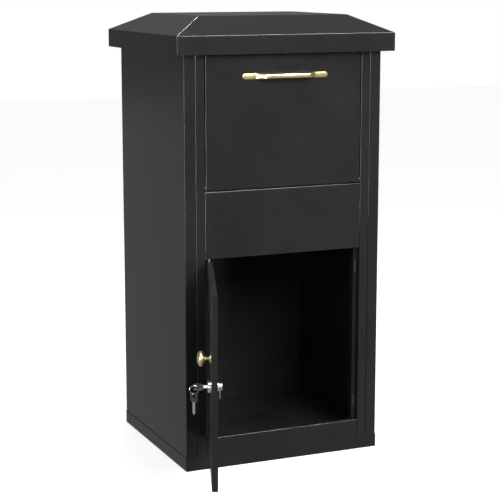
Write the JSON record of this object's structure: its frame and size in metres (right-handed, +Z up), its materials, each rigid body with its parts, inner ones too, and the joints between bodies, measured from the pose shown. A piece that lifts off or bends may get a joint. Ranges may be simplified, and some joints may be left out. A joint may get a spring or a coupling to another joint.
{
  "type": "parcel drop mailbox",
  "caption": "Free-standing folded steel parcel mailbox with hipped roof, pull-down hopper, and a keyed retrieval door standing open.",
  "frame": {"origin": "middle of the base pan's underside, on the ground", "axes": "+Z up, +Y to the back of the cabinet, +X to the right seen from the front"},
  "size_m": [0.5653, 0.7302, 0.943],
  "materials": {
    "cabinet_paint": "fine satin black powder coat",
    "inner_paint": "satin black powder coat",
    "brass": "satin champagne brass",
    "lock_chrome": "polished nickel chrome",
    "zinc_steel": "zinc plated",
    "black_screws": "black oxide",
    "rubber": "matt black",
    "nylon": "natural nylon",
    "key_plastic": "moulded black plastic"
  },
  "bodies": {
    "cabinet": {"base_pan": "cabinet_paint", "floor_panel": "inner_paint", "left_side_wall": "cabinet_paint", "right_side_wall": "cabinet_paint", "back_panel": "cabinet_paint", "left_front_post": "cabinet_paint", "right_front_post": "cabinet_paint", "sill_panel": "cabinet_paint", "middle_panel": "cabinet_paint", "roof_shell": "cabinet_paint", "roof_frame": "inner_paint", "roof_screws": "black_screws", "post_rivets": "black_screws", "panel_rivets": "black_screws", "back_screws": "black_screws", "door_hinge_bushes": "nylon", "hopper_hinge_bushes": "nylon", "hopper_stop_brackets": "inner_paint", "hopper_stop_pins": "zinc_steel", "door_bumpers": "rubber"},
    "hopper": {"hopper_panel": "cabinet_paint", "hopper_tray": "inner_paint", "hopper_left_cheek": "inner_paint", "hopper_right_cheek": "inner_paint", "hopper_hinge_pins": "zinc_steel", "hopper_handle": "brass", "handle_screws": "zinc_steel"},
    "door": {"door_panel": "cabinet_paint", "door_stiffener": "inner_paint", "door_hinge_pins": "zinc_steel", "door_knob": "brass", "knob_screw": "zinc_steel", "lock_body": "lock_chrome", "lock_nut": "zinc_steel"},
    "lock": {"lock_plug": "lock_chrome", "lock_cam": "zinc_steel", "cam_screw": "zinc_steel", "key_blade": "lock_chrome", "key_bow": "key_plastic"},
    "ring": {"key_ring": "lock_chrome"},
    "spare_key": {"spare_key_blade": "lock_chrome", "spare_key_bow": "key_plastic"}
  },
  "joints": [
    {"name": "door_hinge", "type": "hinge", "parent": "cabinet", "child": "door", "pos_m": [-0.1672, -0.1895, 0.257], "axis": [0, 0, 1], "range_deg": [-14.6, 110.4]},
    {"name": "hopper_tilt", "type": "hinge", "parent": "cabinet", "child": "hopper", "pos_m": [0, -0.1895, 0.598], "axis": [1, 0, 0], "range_deg": [0, 45]},
    {"name": "lock_turn", "type": "hinge", "parent": "door", "child": "lock", "pos_m": [-0.28282, -0.48461, 0.266], "axis": [-0.9373, 0.3486, 0], "range_deg": [0, 90]},
    {"name": "key_ring_swing", "type": "hinge", "parent": "lock", "child": "ring", "pos_m": [-0.31262, -0.47352, 0.266], "axis": [-0.3486, -0.9373, 0], "range_deg": [-10, 10]},
    {"name": "spare_key_swing", "type": "hinge", "parent": "ring", "child": "spare_key", "pos_m": [-0.31262, -0.47352, 0.25233], "axis": [0.9373, -0.3486, 0], "range_deg": [-20, 20]}
  ]
}
